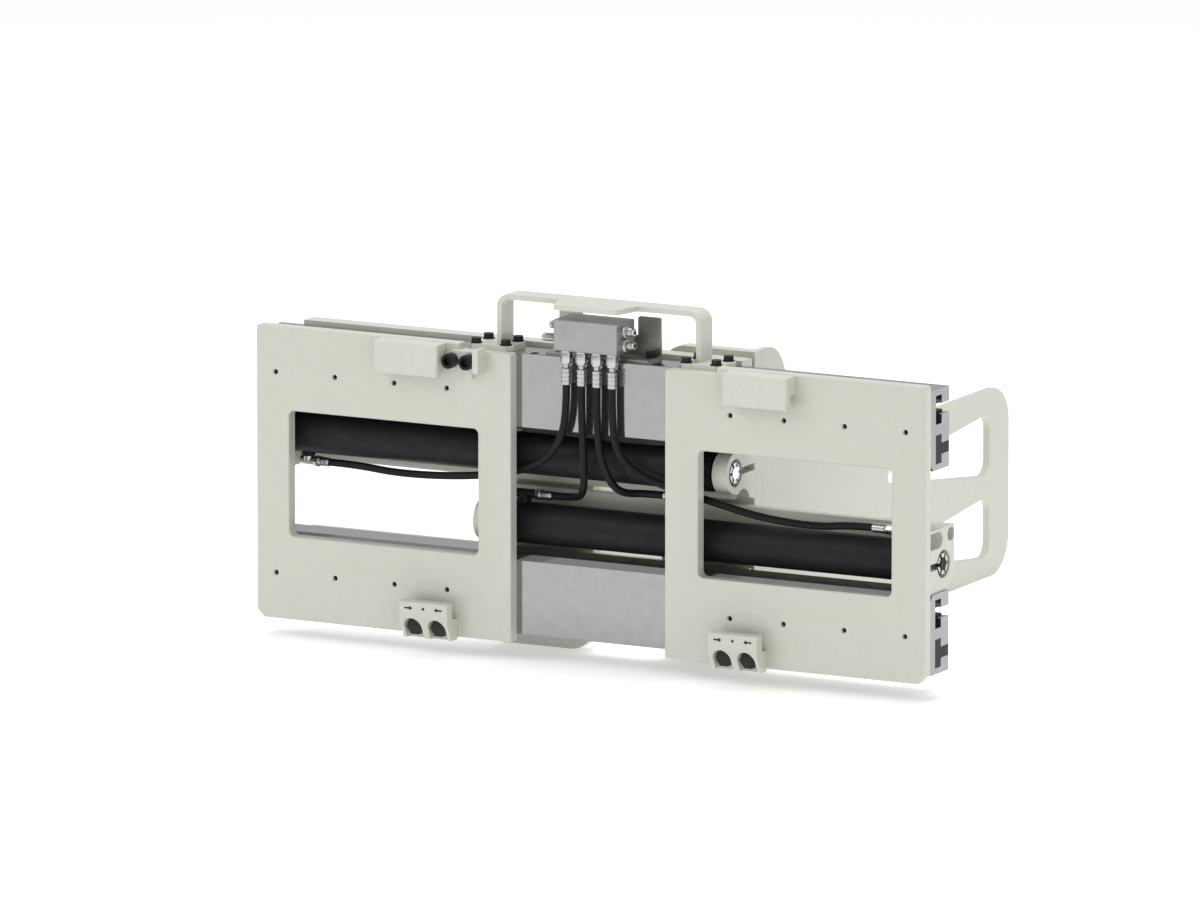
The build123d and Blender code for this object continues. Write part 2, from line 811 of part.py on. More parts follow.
# ---------------------------------------------------------------- cylinder brackets
with BuildPart() as base_bracket:
    rail_inner = rail_level - rail_height / 2
    with BuildSketch(Plane.YZ.offset(-base_bracket_outer)):
        with BuildLine():
            Polyline(
                (plate_thick, -base_bracket_top),
                (plate_thick, rail_inner),
                (rail_front, rail_inner),
                (plate_thick + base_bracket_depth, rail_inner - bracket_slope),
                (plate_thick + base_bracket_depth, -base_bracket_top),
                close=True,
            )
        make_face()
        with Locations((plate_thick, -base_bracket_top + pocket_lip + pocket_height / 2)):
            SlotOverall(2 * pocket_depth, pocket_height, mode=Mode.SUBTRACT)
        side_hole_z = -base_bracket_top + side_hole_edge + side_hole_rise
        with Locations((plate_thick + base_bracket_depth - side_hole_edge, side_hole_z)):
            Circle(side_hole_dia / 2, mode=Mode.SUBTRACT)
        with Locations((cylinder_y, cylinder_level)):
            Circle(stud_dia / 2, mode=Mode.SUBTRACT)
    extrude(amount=bracket_thick)
    with BuildSketch(Plane.YZ.offset(-base_bracket_outer)):
        with Locations((cylinder_y, cylinder_level)):
            Circle(nut_recess_dia / 2)
        with Locations(((cylinder_y + plate_thick) / 2, cylinder_level)):
            Rectangle(cylinder_y - plate_thick, nut_slot)
    extrude(amount=nut_recess_depth, mode=Mode.SUBTRACT)
save(base_bracket, "left_base_bracket")
half_turn(base_bracket, "right_base_bracket")

with BuildPart() as rod_bracket:
    with BuildSketch(Plane.YZ.offset(bracket_inner)):
        with Locations((cylinder_y, cylinder_level)):
            Circle(boss_dia / 2)
        with BuildLine():
            Polyline(
                (cylinder_y, cylinder_level + boss_dia / 2),
                (column_rear, mid_plate_high - 1),
                (column_rear, rod_bracket_bottom),
                (cylinder_y - rod_bracket_heel, cylinder_level - boss_dia / 2 + 1),
                close=True,
            )
        make_face()
        with Locations((cylinder_y + rod_notch_forward, rod_bracket_bottom - rod_notch_drop)):
            Circle(rod_notch_dia / 2, mode=Mode.SUBTRACT)
        with Locations((cylinder_y, cylinder_level)):
            Circle(stud_dia / 2, mode=Mode.SUBTRACT)
    extrude(amount=bracket_thick)
    with BuildSketch(Plane.YZ.offset(nut_seat)):
        with Locations((cylinder_y, cylinder_level)):
            Circle(nut_recess_dia / 2)
        with Locations(((cylinder_y + column_rear) / 2, cylinder_level)):
            Rectangle(column_rear - cylinder_y, nut_slot)
    extrude(amount=nut_recess_depth, mode=Mode.SUBTRACT)
save(rod_bracket, "right_rod_bracket")
half_turn(rod_bracket, "left_rod_bracket")


# ---------------------------------------------------------------- arms
def slide_bar(slot, band, name, other_name):
    """A right-arm bar: foot inside the T-slot, stem through its mouth, and bar before the rail."""
    level = slot_levels[slot]
    foot_rear = cavity_rear + wear_gap
    foot_front = cavity_front - liner_thick - wear_gap
    foot_height = cavity_height - 2 * liner_thick - 2 * wear_gap
    stem_height = mouth_height - 2 * liner_thick - 2 * wear_gap
    with BuildPart() as bar:
        with BuildSketch(Plane.YZ.offset(-bar_end)):
            with Locations(((foot_rear + foot_front) / 2, level)):
                Rectangle(foot_front - foot_rear, foot_height)
            with Locations(((foot_front + bar_rear) / 2, level)):
                Rectangle(bar_rear - foot_front, stem_height)
            with Locations(((bar_rear + bar_front) / 2, (band[0] + band[1]) / 2)):
                outer = Rectangle(bar_thick, band[1] - band[0])
            chamfer(outer.vertices().group_by(Axis.X)[-1], bar_edge)
        extrude(amount=bar_end + arm_outer)
    save(bar, name)
    half_turn(bar, other_name)


slide_bar("top_outer", outer_bar, "right_upper_slide_bar", "left_lower_slide_bar")
slide_bar("bottom_inner", (-inner_bar[1], -inner_bar[0]), "right_lower_slide_bar", "left_upper_slide_bar")

mid_plate_front = bar_front
with BuildPart() as mid_plate:
    box_between(
        (-mid_plate_end, mid_plate_front - mid_plate_thick, mid_plate_low),
        (bracket_inner, mid_plate_front, mid_plate_high),
    )
    chamfer(mid_plate.edges().filter_by(Axis.X), 1)
save(mid_plate, "right_mid_plate")
half_turn(mid_plate, "left_mid_plate")


def column(side, name):
    """The upright of one arm, with the welded pads that carry its bars and mid plate."""
    sign = 1 if side == "right" else -1
    top = column_top[side]
    inner = arm_outer - column_width
    lower_bar = (-inner_bar[1], -inner_bar[0])
    bands = [outer_bar, (mid_plate_low, mid_plate_high), lower_bar]
    if side == "left":
        bands = [(-high, -low) for low, high in bands]
    with BuildPart() as upright:
        with BuildSketch(rearward(column_front)):
            with Locations((sign * (inner + arm_outer) / 2, (top + arm_bottom) / 2)):
                outline = Rectangle(column_width, top - arm_bottom)
            inner_corners = outline.vertices().filter_by(lambda v: abs(v.X) < inner + 1)
            fillet(inner_corners, shoulder_radius)
        extrude(amount=column_thick)
        with BuildSketch(rearward(column_rear)):
            for low, high in bands:
                with Locations((sign * (bracket_inner - pad_inset - pad_length / 2), (low + high) / 2)):
                    Rectangle(pad_length, high - low - 2 * pad_margin)
        extrude(amount=column_rear - bar_front)
    save(upright, name)


column("right", "right_column")
column("left", "left_column")


def side_plate(side, name):
    """One arm's plate, which presses on the load. It stands in the YZ plane."""
    sign = 1 if side == "right" else -1
    top = column_top[side]
    slope_foot = column_front + root_slope_start + root_slope_run
    tip_side = arm_reach - arm_tip_width
    with BuildPart() as plate:
        with BuildSketch(Plane.YZ.offset(min(sign * arm_half_gap, sign * arm_outer))):
            with BuildLine():
                Polyline(
                    (column_front, arm_bottom),
                    (column_front, top),
                    (column_front + root_slope_start, top),
                    (slope_foot, arm_top),
                    (arm_reach, arm_top),
                    (arm_reach, arm_bottom),
                    close=True,
                )
            outline = make_face()
            tips = outline.vertices().group_by(Axis.X)[-1]
            fillet(tips, arm_tip_radius)
        extrude(amount=arm_plate_thick)
        rounds = plate.edges().filter_by(Axis.X)
        shoulder = rounds.sort_by_distance((0, column_front + root_slope_start, top))[0]
        throat = rounds.sort_by_distance((0, slope_foot, arm_top))[0]
        fillet(shoulder, root_radius)
        fillet(throat, throat_radius)
        for apex, high, low in arm_windows.values():
            with BuildSketch(Plane.YZ.offset(min(sign * arm_half_gap, sign * arm_outer))) as cut:
                with BuildLine():
                    Polyline(apex, (tip_side, high), (tip_side, low), close=True)
                make_face()
                fillet(cut.vertices().group_by(Axis.X)[0], window_apex_radius)
                tip_corners = cut.vertices().filter_by(lambda v: v.X > tip_side - 1)
                fillet(tip_corners, window_tip_radius)
            extrude(amount=arm_plate_thick, mode=Mode.SUBTRACT)
        chamfer(plate.faces().filter_by(Axis.X).edges(), 0.8)
    save(plate, name)


side_plate("right", "right_side_plate")
side_plate("left", "left_side_plate")


# ---------------------------------------------------------------- hose ends
def along_x(y, z, start, end, diameter, sides=0):
    """A round or hexagonal piece along X between two places."""
    low, high = sorted((start, end))
    with BuildSketch(Plane(origin=(low, y, z), x_dir=(0, 1, 0), z_dir=(1, 0, 0))) as section:
        if sides:
            RegularPolygon(diameter / 2, sides, major_radius=False)
        else:
            Circle(diameter / 2)
    extrude(section.sketch, amount=high - low)


def run_ends(port_x, stack, side):
    """Where each piece of a run ends before its port, from the reaches of its nut, ferrule and hose."""
    nut, ferrule, tube = end_reach[stack]
    places = {"hose": port_x - tube, "ferrule": port_x - ferrule, "nut": port_x - nut}
    places["fitting"] = port_x + end_reach["nose"]
    return {piece: side * x for piece, x in places.items()}


rod_ends = run_ends(rod_port_x, "rod", 1)
lower_rod_ends = run_ends(rod_port_x, "rod", -1)
upper_base_ends = run_ends(base_port_x, "upper_base", -1)
lower_base_ends = run_ends(base_port_x, "lower_base", 1)
port_runs = (
    (rod_ends, port_level, rod_port_x),
    (lower_rod_ends, -port_level, -rod_port_x),
    (upper_base_ends, port_level, -base_port_x),
    (lower_base_ends, -port_level, base_port_x),
)

with BuildPart() as swivels:
    with BuildSketch(Plane.XY.offset(divider_bottom - swivel_length)):
        with Locations(*divider_ports):
            RegularPolygon(swivel_hex / 2, 6, major_radius=False)
    extrude(amount=swivel_length)
    for ends, level, _ in port_runs:
        along_x(cylinder_y, level, ends["ferrule"], ends["nut"], port_swivel_hex, 6)
save(swivels, "hose_swivel_nuts")

with BuildPart() as ferrules:
    neck_top = divider_bottom - swivel_length
    with BuildSketch(Plane.XY.offset(neck_top - ferrule_neck)):
        with Locations(*divider_ports):
            Circle(ferrule_neck_dia / 2)
    extrude(amount=ferrule_neck)
    with BuildSketch(Plane.XY.offset(hose_top)):
        with Locations(*divider_ports):
            Circle(ferrule_dia / 2)
    extrude(amount=neck_top - ferrule_neck - hose_top)
    for ends, level, _ in port_runs:
        along_x(cylinder_y, level, ends["hose"], ends["ferrule"], ferrule_dia)
save(ferrules, "hose_ferrules")


def port_fittings(runs, name):
    """Angle fittings: a body along X behind the hose's nut, with a stem into the port boss."""
    with BuildPart() as fittings:
        for ends, level, port_x in runs:
            up = 1 if level > 0 else -1
            along_x(cylinder_y, level, ends["nut"], ends["fitting"], elbow_body_dia)
            low, high = sorted((level, level + up * elbow_dia / 2))
            with BuildSketch(Plane.XY.offset(low)):
                with Locations((port_x, cylinder_y)):
                    Circle(elbow_dia / 2)
            extrude(amount=high - low)
    save(fittings, name)


port_fittings(port_runs[:2], "rod_end_fittings")
port_fittings(port_runs[2:], "base_end_fittings")


# ---------------------------------------------------------------- hoses
def hose(route, name):
    """A hose tube: straight runs joined by arcs as large as each pair of runs allows."""
    points = [Vector(*p) for p in route]
    radii = []
    for before, here, after in zip(points, points[1:], points[2:]):
        turn = math.radians((here - before).get_angle(after - here))
        shorter = min((here - before).length, (after - here).length)
        radii.append(0.45 * shorter / math.tan(turn / 2))
    with BuildPart() as tube:
        with BuildLine() as path:
            FilletPolyline(*points, radius=radii)
        with BuildSketch(Plane(origin=points[0], z_dir=points[1] - points[0])):
            Circle(hose_dia / 2)
        sweep()
    length = sum(edge.length for edge in path.edges())
    ideal = math.pi * hose_dia**2 / 4 * length
    print(name, "length", round(length, 1), "volume ratio", round(tube.part.volume / ideal, 4))
    print("   radii", [round(r) for r in radii])
    save(tube, name)


hose(
    [
        (hose_x[0], hose_y, hose_top),
        (hose_x[0], hose_y, 141),
        (-50, 8, 95),
        (-90, 22, 52),
        (-160, 34, 26),
        (-260, 42, 12),
        (-365, 58, 5),
        (-445, cylinder_y, port_level),
        (upper_base_ends["hose"], cylinder_y, port_level),
    ],
    "upper_base_hose",
)
hose(
    [
        (hose_x[1], hose_y, hose_top),
        (hose_x[1], hose_y, 141),
        (-13, 9, 94),
        (-16, 20, 44),
        (-28, 40, 5),
        (-58, cylinder_y, -port_level),
        (lower_rod_ends["hose"], cylinder_y, -port_level),
    ],
    "lower_rod_hose",
)
hose(
    [
        (hose_x[2], hose_y, hose_top),
        (hose_x[2], hose_y, 141),
        (14, 9, 94),
        (20, 17, 50),
        (36, 34, 13),
        (64, cylinder_y, port_level),
        (rod_ends["hose"], cylinder_y, port_level),
    ],
    "upper_rod_hose",
)
hose(
    [
        (hose_x[3], hose_y, hose_top),
        (hose_x[3], hose_y, 139),
        (43, 9, 92),
        (62, 18, 57),
        (110, 31, 34),
        (190, 35, 16),
        (280, 45, -6),
        (370, 58, -14),
        (420, cylinder_y, -port_level),
        (lower_base_ends["hose"], cylinder_y, -port_level),
    ],
    "lower_base_hose",
)
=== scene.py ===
# %% [markdown]
# # A carriage-mounted hydraulic squeeze clamp
# The clamp hangs on a lift truck's fork carriage. Two welded arms slide apart in T-slot rails,
# and two cylinders, fed through a flow divider, push them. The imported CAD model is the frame:
# every solid has its size and place already, so this script adds hoses, small fittings, materials,
# light and a camera, and moves nothing.

# %% Load the frame
import bpy
import json
import math
from mathutils import Matrix, Vector


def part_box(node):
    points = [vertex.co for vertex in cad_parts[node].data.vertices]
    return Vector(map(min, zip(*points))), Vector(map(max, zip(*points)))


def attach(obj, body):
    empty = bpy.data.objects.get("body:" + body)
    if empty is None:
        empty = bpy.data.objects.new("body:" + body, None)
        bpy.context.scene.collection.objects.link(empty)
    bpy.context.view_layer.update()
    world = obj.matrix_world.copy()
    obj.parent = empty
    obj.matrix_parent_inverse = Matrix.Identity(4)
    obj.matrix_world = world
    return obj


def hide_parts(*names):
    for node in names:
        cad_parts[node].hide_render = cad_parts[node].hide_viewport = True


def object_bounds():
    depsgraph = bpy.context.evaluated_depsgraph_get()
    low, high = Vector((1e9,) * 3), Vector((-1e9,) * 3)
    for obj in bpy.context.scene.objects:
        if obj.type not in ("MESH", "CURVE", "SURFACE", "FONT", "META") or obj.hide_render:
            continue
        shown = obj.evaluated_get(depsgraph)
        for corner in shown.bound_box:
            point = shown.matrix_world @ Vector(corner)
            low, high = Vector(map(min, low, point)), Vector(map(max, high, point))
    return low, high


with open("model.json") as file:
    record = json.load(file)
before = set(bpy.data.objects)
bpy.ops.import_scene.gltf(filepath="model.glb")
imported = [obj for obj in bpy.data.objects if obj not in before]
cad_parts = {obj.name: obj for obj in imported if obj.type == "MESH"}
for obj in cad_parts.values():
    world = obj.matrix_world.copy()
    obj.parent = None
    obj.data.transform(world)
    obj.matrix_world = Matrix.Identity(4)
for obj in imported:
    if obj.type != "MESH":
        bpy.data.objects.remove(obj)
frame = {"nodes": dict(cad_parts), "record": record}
cad_low, cad_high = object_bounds()
print("CAD box", [round(v, 3) for v in cad_low], [round(v, 3) for v in cad_high])

# %% [markdown]
# ## Camera
# The view is from behind the clamp, on the truck's side, a little to the right and a little above.
# A long lens far away keeps the rails almost parallel, as on a product sheet. A camera looks
# along its own -Z, so the direction towards the object is turned into a rotation with
# to_track_quat.

# %% Camera
view_azimuth = math.radians(27.6)
view_elevation = math.radians(10.8)
view_distance = 27.0
view_target = Vector((0.010, 0.023, 0.081))

toward_camera = Vector((
    math.sin(view_azimuth) * math.cos(view_elevation),
    -math.cos(view_azimuth) * math.cos(view_elevation),
    math.sin(view_elevation),
))
camera_data = bpy.data.cameras.new("camera")
camera_data.sensor_width = 36
camera_data.lens = 522
camera_data.clip_end = 100
camera = bpy.data.objects.new("camera", camera_data)
camera.location = view_target + toward_camera * view_distance
camera.rotation_mode = "QUATERNION"
camera.rotation_quaternion = (-toward_camera).to_track_quat("-Z", "Y")
bpy.context.scene.collection.objects.link(camera)
bpy.context.scene.camera = camera
print("camera at", [round(v, 2) for v in camera.location])

# %% [markdown]
# ## Hoses
# Four hydraulic hoses run from the flow divider's underside to the cylinder ports. Each is a fixed
# length of stiff, wire-braided rubber, so it leaves its crimped ferrule straight and then bends in
# one long curve. A NURBS curve with a few control points gives that: it never reaches its inner
# points, it only leans towards them, which is how a stiff hose behaves. The order is set after
# the points are added, because a spline with too few points falls back to straight runs. The bevel
# is one metre and each point's radius scales it to the hose, because a curve's own box is grown by
# its points' radius, which would otherwise be a metre too.

# %% Hose routes, in metres
hose_radius = 0.006
hose_routes = {
    "upper_base_hose": [
        (-0.04005, 0.006, 0.183), (-0.04005, 0.006, 0.141), (-0.050, 0.008, 0.095),
        (-0.090, 0.022, 0.052), (-0.160, 0.034, 0.026), (-0.260, 0.042, 0.012),
        (-0.365, 0.058, 0.005), (-0.445, 0.071, 0.009), (-0.493, 0.071, 0.009),
    ],
    "lower_rod_hose": [
        (-0.01335, 0.006, 0.183), (-0.01335, 0.006, 0.141), (-0.013, 0.009, 0.094),
        (-0.016, 0.020, 0.044), (-0.028, 0.040, 0.005), (-0.058, 0.071, -0.009),
        (-0.098, 0.071, -0.009),
    ],
    "upper_rod_hose": [
        (0.01335, 0.006, 0.183), (0.01335, 0.006, 0.141), (0.014, 0.009, 0.094),
        (0.020, 0.017, 0.050), (0.036, 0.034, 0.013), (0.064, 0.071, 0.009),
        (0.098, 0.071, 0.009),
    ],
    "lower_base_hose": [
        (0.04005, 0.006, 0.183), (0.04005, 0.006, 0.139), (0.043, 0.009, 0.092),
        (0.062, 0.018, 0.057), (0.110, 0.031, 0.034), (0.190, 0.035, 0.016),
        (0.280, 0.045, -0.006), (0.370, 0.058, -0.014), (0.420, 0.071, -0.009),
        (0.461, 0.071, -0.009),
    ],
}


def make_hose(name, route):
    """A round hose along a smooth curve that leans towards the route's points."""
    curve = bpy.data.curves.new(name, "CURVE")
    curve.dimensions = "3D"
    curve.resolution_u = 24
    curve.bevel_depth = 1.0
    curve.bevel_resolution = 8
    curve.use_fill_caps = True
    spline = curve.splines.new("NURBS")
    spline.points.add(len(route) - 1)
    for point, place in zip(spline.points, route):
        point.co = (*place, 1)
        point.radius = hose_radius
    spline.order_u = 3
    spline.use_endpoint_u = True
    piece = bpy.data.objects.new(name, curve)
    bpy.context.scene.collection.objects.link(piece)
    return piece


hoses = []
for node, route in hose_routes.items():
    hose = make_hose(node.replace("_hose", "_hydraulic_hose"), route)
    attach(hose, "frame")
    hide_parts(node)
    hoses.append(hose)
print(len(hoses), "hoses")

# %% [markdown]
# ## Shader groups
# Three effects come back in many finishes, so each is one node group with named sockets:
# a fine surface grain, slightly mottled colour, and brighter outer edges, which are a painted
# highlight. The groups put out only colours, masks and normals, and each material keeps its own
# shader.

# %% Helpers for shader nodes
def new_group(name, inputs, outputs):
    """An empty shader group with these sockets, and its two ends."""
    group = bpy.data.node_groups.new(name, "ShaderNodeTree")
    for label, kind, value in inputs:
        socket = group.interface.new_socket(label, in_out="INPUT", socket_type=kind)
        socket.default_value = value
    for label, kind in outputs:
        group.interface.new_socket(label, in_out="OUTPUT", socket_type=kind)
    start = group.nodes.new("NodeGroupInput")
    end = group.nodes.new("NodeGroupOutput")
    return group, start, end


def add_node(tree, kind, **values):
    """A node of this kind, with its named input sockets set."""
    node = tree.nodes.new(kind)
    for label, value in values.items():
        node.inputs[label.replace("_", " ")].default_value = value
    return node


# %% Mottled colour
mottle, start, end = new_group(
    "mottled_colour",
    [("Colour", "NodeSocketColor", (0.8, 0.8, 0.8, 1)),
     ("Shade", "NodeSocketColor", (0.7, 0.7, 0.7, 1)),
     ("Scale", "NodeSocketFloat", 6.0),
     ("Amount", "NodeSocketFloat", 0.3)],
    [("Colour", "NodeSocketColor"), ("Mask", "NodeSocketFloat")],
)
place = mottle.nodes.new("ShaderNodeTexCoord")
cloud = add_node(mottle, "ShaderNodeTexNoise", Detail=5.0, Roughness=0.6)
strength = mottle.nodes.new("ShaderNodeMath")
strength.operation = "MULTIPLY"
blend = mottle.nodes.new("ShaderNodeMix")
blend.data_type = "RGBA"
mottle.links.new(place.outputs["Object"], cloud.inputs["Vector"])
mottle.links.new(start.outputs["Scale"], cloud.inputs["Scale"])
mottle.links.new(cloud.outputs["Fac"], strength.inputs[0])
mottle.links.new(start.outputs["Amount"], strength.inputs[1])
mottle.links.new(strength.outputs["Value"], blend.inputs["Factor"])
mottle.links.new(start.outputs["Colour"], blend.inputs["A"])
mottle.links.new(start.outputs["Shade"], blend.inputs["B"])
mottle.links.new(blend.outputs["Result"], end.inputs["Colour"])
mottle.links.new(cloud.outputs["Fac"], end.inputs["Mask"])
print("group", mottle.name)

# %% Fine grain
grain, start, end = new_group(
    "fine_grain",
    [("Scale", "NodeSocketFloat", 300.0),
     ("Stretch", "NodeSocketVector", (1.0, 1.0, 1.0)),
     ("Depth", "NodeSocketFloat", 0.1),
     ("Low", "NodeSocketFloat", 0.3),
     ("High", "NodeSocketFloat", 0.4)],
    [("Roughness", "NodeSocketFloat"), ("Normal", "NodeSocketVector")],
)
place = grain.nodes.new("ShaderNodeTexCoord")
stretch = grain.nodes.new("ShaderNodeVectorMath")
stretch.operation = "MULTIPLY"
speckle = add_node(grain, "ShaderNodeTexNoise", Detail=4.0, Roughness=0.55)
spread = add_node(grain, "ShaderNodeMapRange")
bump = add_node(grain, "ShaderNodeBump", Distance=0.0002)
grain.links.new(place.outputs["Object"], stretch.inputs[0])
grain.links.new(start.outputs["Stretch"], stretch.inputs[1])
grain.links.new(stretch.outputs["Vector"], speckle.inputs["Vector"])
grain.links.new(start.outputs["Scale"], speckle.inputs["Scale"])
grain.links.new(speckle.outputs["Fac"], spread.inputs["Value"])
grain.links.new(start.outputs["Low"], spread.inputs["To Min"])
grain.links.new(start.outputs["High"], spread.inputs["To Max"])
grain.links.new(speckle.outputs["Fac"], bump.inputs["Height"])
grain.links.new(start.outputs["Depth"], bump.inputs["Strength"])
grain.links.new(spread.outputs["Result"], end.inputs["Roughness"])
grain.links.new(bump.outputs["Normal"], end.inputs["Normal"])
print("group", grain.name)

# %% Painted edge highlights
# Geometry's Pointiness is high along outer edges of a dense mesh and stays near 0.5 on flats.
# Outer edges get the lighter Edge colour. It is a painted highlight for the light that rounded
# edges would catch, broken into patches by noise.
edge_highlighting, start, end = new_group(
    "painted_edge_highlights",
    [("Colour", "NodeSocketColor", (0.8, 0.8, 0.8, 1)),
     ("Edge", "NodeSocketColor", (0.9, 0.9, 0.9, 1)),
     ("Amount", "NodeSocketFloat", 0.5)],
    [("Colour", "NodeSocketColor"), ("Mask", "NodeSocketFloat")],
)
shape = edge_highlighting.nodes.new("ShaderNodeNewGeometry")
edge_mask = add_node(edge_highlighting, "ShaderNodeMapRange", From_Min=0.52, From_Max=0.6)
place = edge_highlighting.nodes.new("ShaderNodeTexCoord")
highlight_breakup = add_node(edge_highlighting, "ShaderNodeTexNoise", Scale=60.0, Detail=3.0)
broken = edge_highlighting.nodes.new("ShaderNodeMath")
broken.operation = "MULTIPLY"
strength = edge_highlighting.nodes.new("ShaderNodeMath")
strength.operation = "MULTIPLY"
strength.use_clamp = True
blend = edge_highlighting.nodes.new("ShaderNodeMix")
blend.data_type = "RGBA"
edge_highlighting.links.new(shape.outputs["Pointiness"], edge_mask.inputs["Value"])
edge_highlighting.links.new(place.outputs["Object"], highlight_breakup.inputs["Vector"])
edge_highlighting.links.new(edge_mask.outputs["Result"], broken.inputs[0])
edge_highlighting.links.new(highlight_breakup.outputs["Fac"], broken.inputs[1])
edge_highlighting.links.new(broken.outputs["Value"], strength.inputs[0])
edge_highlighting.links.new(start.outputs["Amount"], strength.inputs[1])
edge_highlighting.links.new(strength.outputs["Value"], blend.inputs["Factor"])
edge_highlighting.links.new(start.outputs["Colour"], blend.inputs["A"])
edge_highlighting.links.new(start.outputs["Edge"], blend.inputs["B"])
edge_highlighting.links.new(blend.outputs["Result"], end.inputs["Colour"])
edge_highlighting.links.new(strength.outputs["Value"], end.inputs["Mask"])
print("group", edge_highlighting.name)

# %% [markdown]
# ## Finishes
# Every finish is the same chain with its own values: mottled colour, then painted edge highlights,
# then the grain that sets roughness and bump. What is the same all over, such as coat or metal, is
# set on the shader's own socket. The grain is stretched along X where the real surface is drawn or
# extruded that way, which gives the long fine lines of an extruded rail.

# %% Build a finish
def finish_of(name, colour, shade, edge, mottle_scale=5.0, mottle_amount=0.3, highlight_amount=0.5,
              grain_scale=400.0, stretch=(1, 1, 1), depth=0.1, low=0.3, high=0.4,
              metallic=0.0, coat=0.0, coat_roughness=0.1, specular=0.5):
    """One procedural material for one of the clamp's finishes."""
    material = bpy.data.materials.new(name)
    material.use_nodes = True
    tree = material.node_tree
    shader = tree.nodes["Principled BSDF"]
    shader.inputs["Metallic"].default_value = metallic
    shader.inputs["Coat Weight"].default_value = coat
    shader.inputs["Coat Roughness"].default_value = coat_roughness
    shader.inputs["Specular IOR Level"].default_value = specular
    clouds = tree.nodes.new("ShaderNodeGroup")
    clouds.node_tree = mottle
    clouds.inputs["Colour"].default_value = (*colour, 1)
    clouds.inputs["Shade"].default_value = (*shade, 1)
    clouds.inputs["Scale"].default_value = mottle_scale
    clouds.inputs["Amount"].default_value = mottle_amount
    # The Edge colour is lighter than the finish's own colour. It is a painted highlight on the
    # outer edges.
    edges = tree.nodes.new("ShaderNodeGroup")
    edges.node_tree = edge_highlighting
    edges.inputs["Edge"].default_value = (*edge, 1)
    edges.inputs["Amount"].default_value = highlight_amount
    surface = tree.nodes.new("ShaderNodeGroup")
    surface.node_tree = grain
    surface.inputs["Scale"].default_value = grain_scale
    surface.inputs["Stretch"].default_value = stretch
    surface.inputs["Depth"].default_value = depth
    surface.inputs["Low"].default_value = low
    surface.inputs["High"].default_value = high
    tree.links.new(clouds.outputs["Colour"], edges.inputs["Colour"])
    tree.links.new(edges.outputs["Colour"], shader.inputs["Base Color"])
    tree.links.new(surface.outputs["Roughness"], shader.inputs["Roughness"])
    tree.links.new(surface.outputs["Normal"], shader.inputs["Normal"])
    return material


# In each finish the third colour is its painted edge highlight, and its amount sets how strong
# that highlight is.
finishes = {
    "beige_paint": finish_of(
        "beige_enamel", (0.550, 0.547, 0.480), (0.512, 0.509, 0.443), (0.70, 0.70, 0.64),
        mottle_scale=3.0, mottle_amount=0.35, highlight_amount=0.6,
        grain_scale=260.0, depth=0.12, low=0.3, high=0.42, coat=0.15, coat_roughness=0.25),
    "rail_aluminium": finish_of(
        "extruded_rail", (0.295, 0.295, 0.297), (0.27, 0.27, 0.274), (0.46, 0.46, 0.465),
        mottle_scale=4.0, mottle_amount=0.4, highlight_amount=0.4,
        grain_scale=90.0, stretch=(0.02, 1, 1), depth=0.015, low=0.06, high=0.13, metallic=0.9),
    "slide_plastic": finish_of(
        "wear_plastic", (0.007, 0.007, 0.0075), (0.014, 0.014, 0.014), (0.04, 0.04, 0.04),
        grain_scale=500.0, depth=0.1, low=0.4, high=0.55, specular=0.2),
    "seal_plastic": finish_of(
        "seal_rubber", (0.02, 0.02, 0.02), (0.04, 0.04, 0.04), (0.06, 0.06, 0.06),
        grain_scale=600.0, depth=0.1, low=0.45, high=0.6),
    "black_fasteners": finish_of(
        "black_oxide", (0.006, 0.006, 0.0065), (0.012, 0.012, 0.012), (0.07, 0.07, 0.07),
        mottle_scale=60.0, grain_scale=700.0, depth=0.08, low=0.34, high=0.46, specular=0.2),
    "cylinder_black": finish_of(
        "cylinder_paint", (0.008, 0.008, 0.0084), (0.013, 0.013, 0.0136), (0.04, 0.04, 0.04),
        mottle_scale=8.0, grain_scale=250.0, depth=0.06, low=0.4, high=0.52, specular=0.14),
    "zinc_steel": finish_of(
        "bright_zinc", (0.50, 0.50, 0.49), (0.38, 0.38, 0.37), (0.7, 0.7, 0.7),
        mottle_scale=70.0, mottle_amount=0.5, grain_scale=500.0, depth=0.05,
        low=0.2, high=0.34, metallic=1.0),
    "rod_chrome": finish_of(
        "hard_chrome", (0.72, 0.73, 0.75), (0.66, 0.67, 0.69), (0.8, 0.8, 0.82),
        grain_scale=300.0, stretch=(4, 1, 1), depth=0.02, low=0.05, high=0.10, metallic=1.0),
    "machined_steel": finish_of(
        "turned_steel", (0.42, 0.42, 0.42), (0.34, 0.34, 0.34), (0.6, 0.6, 0.6),
        grain_scale=300.0, stretch=(6, 1, 1), depth=0.1, low=0.22, high=0.34, metallic=1.0),
    "divider_aluminium": finish_of(
        "milled_aluminium", (0.31, 0.31, 0.31), (0.27, 0.27, 0.275), (0.50, 0.50, 0.50),
        mottle_scale=20.0, grain_scale=220.0, stretch=(0.08, 1, 1), depth=0.08,
        low=0.28, high=0.4, metallic=0.75),
    "bracket_steel": finish_of(
        "passivated_sheet", (0.36, 0.35, 0.32), (0.27, 0.265, 0.24), (0.55, 0.54, 0.5),
        mottle_scale=25.0, mottle_amount=0.5, grain_scale=260.0, depth=0.08,
        low=0.3, high=0.42, metallic=0.8),
    "hose_rubber": finish_of(
        "hose_cover", (0.006, 0.006, 0.006), (0.012, 0.012, 0.012), (0.02, 0.02, 0.02),
        mottle_scale=120.0, grain_scale=900.0, depth=0.15, low=0.34, high=0.46, specular=0.18),
}
print(len(finishes), "finishes")

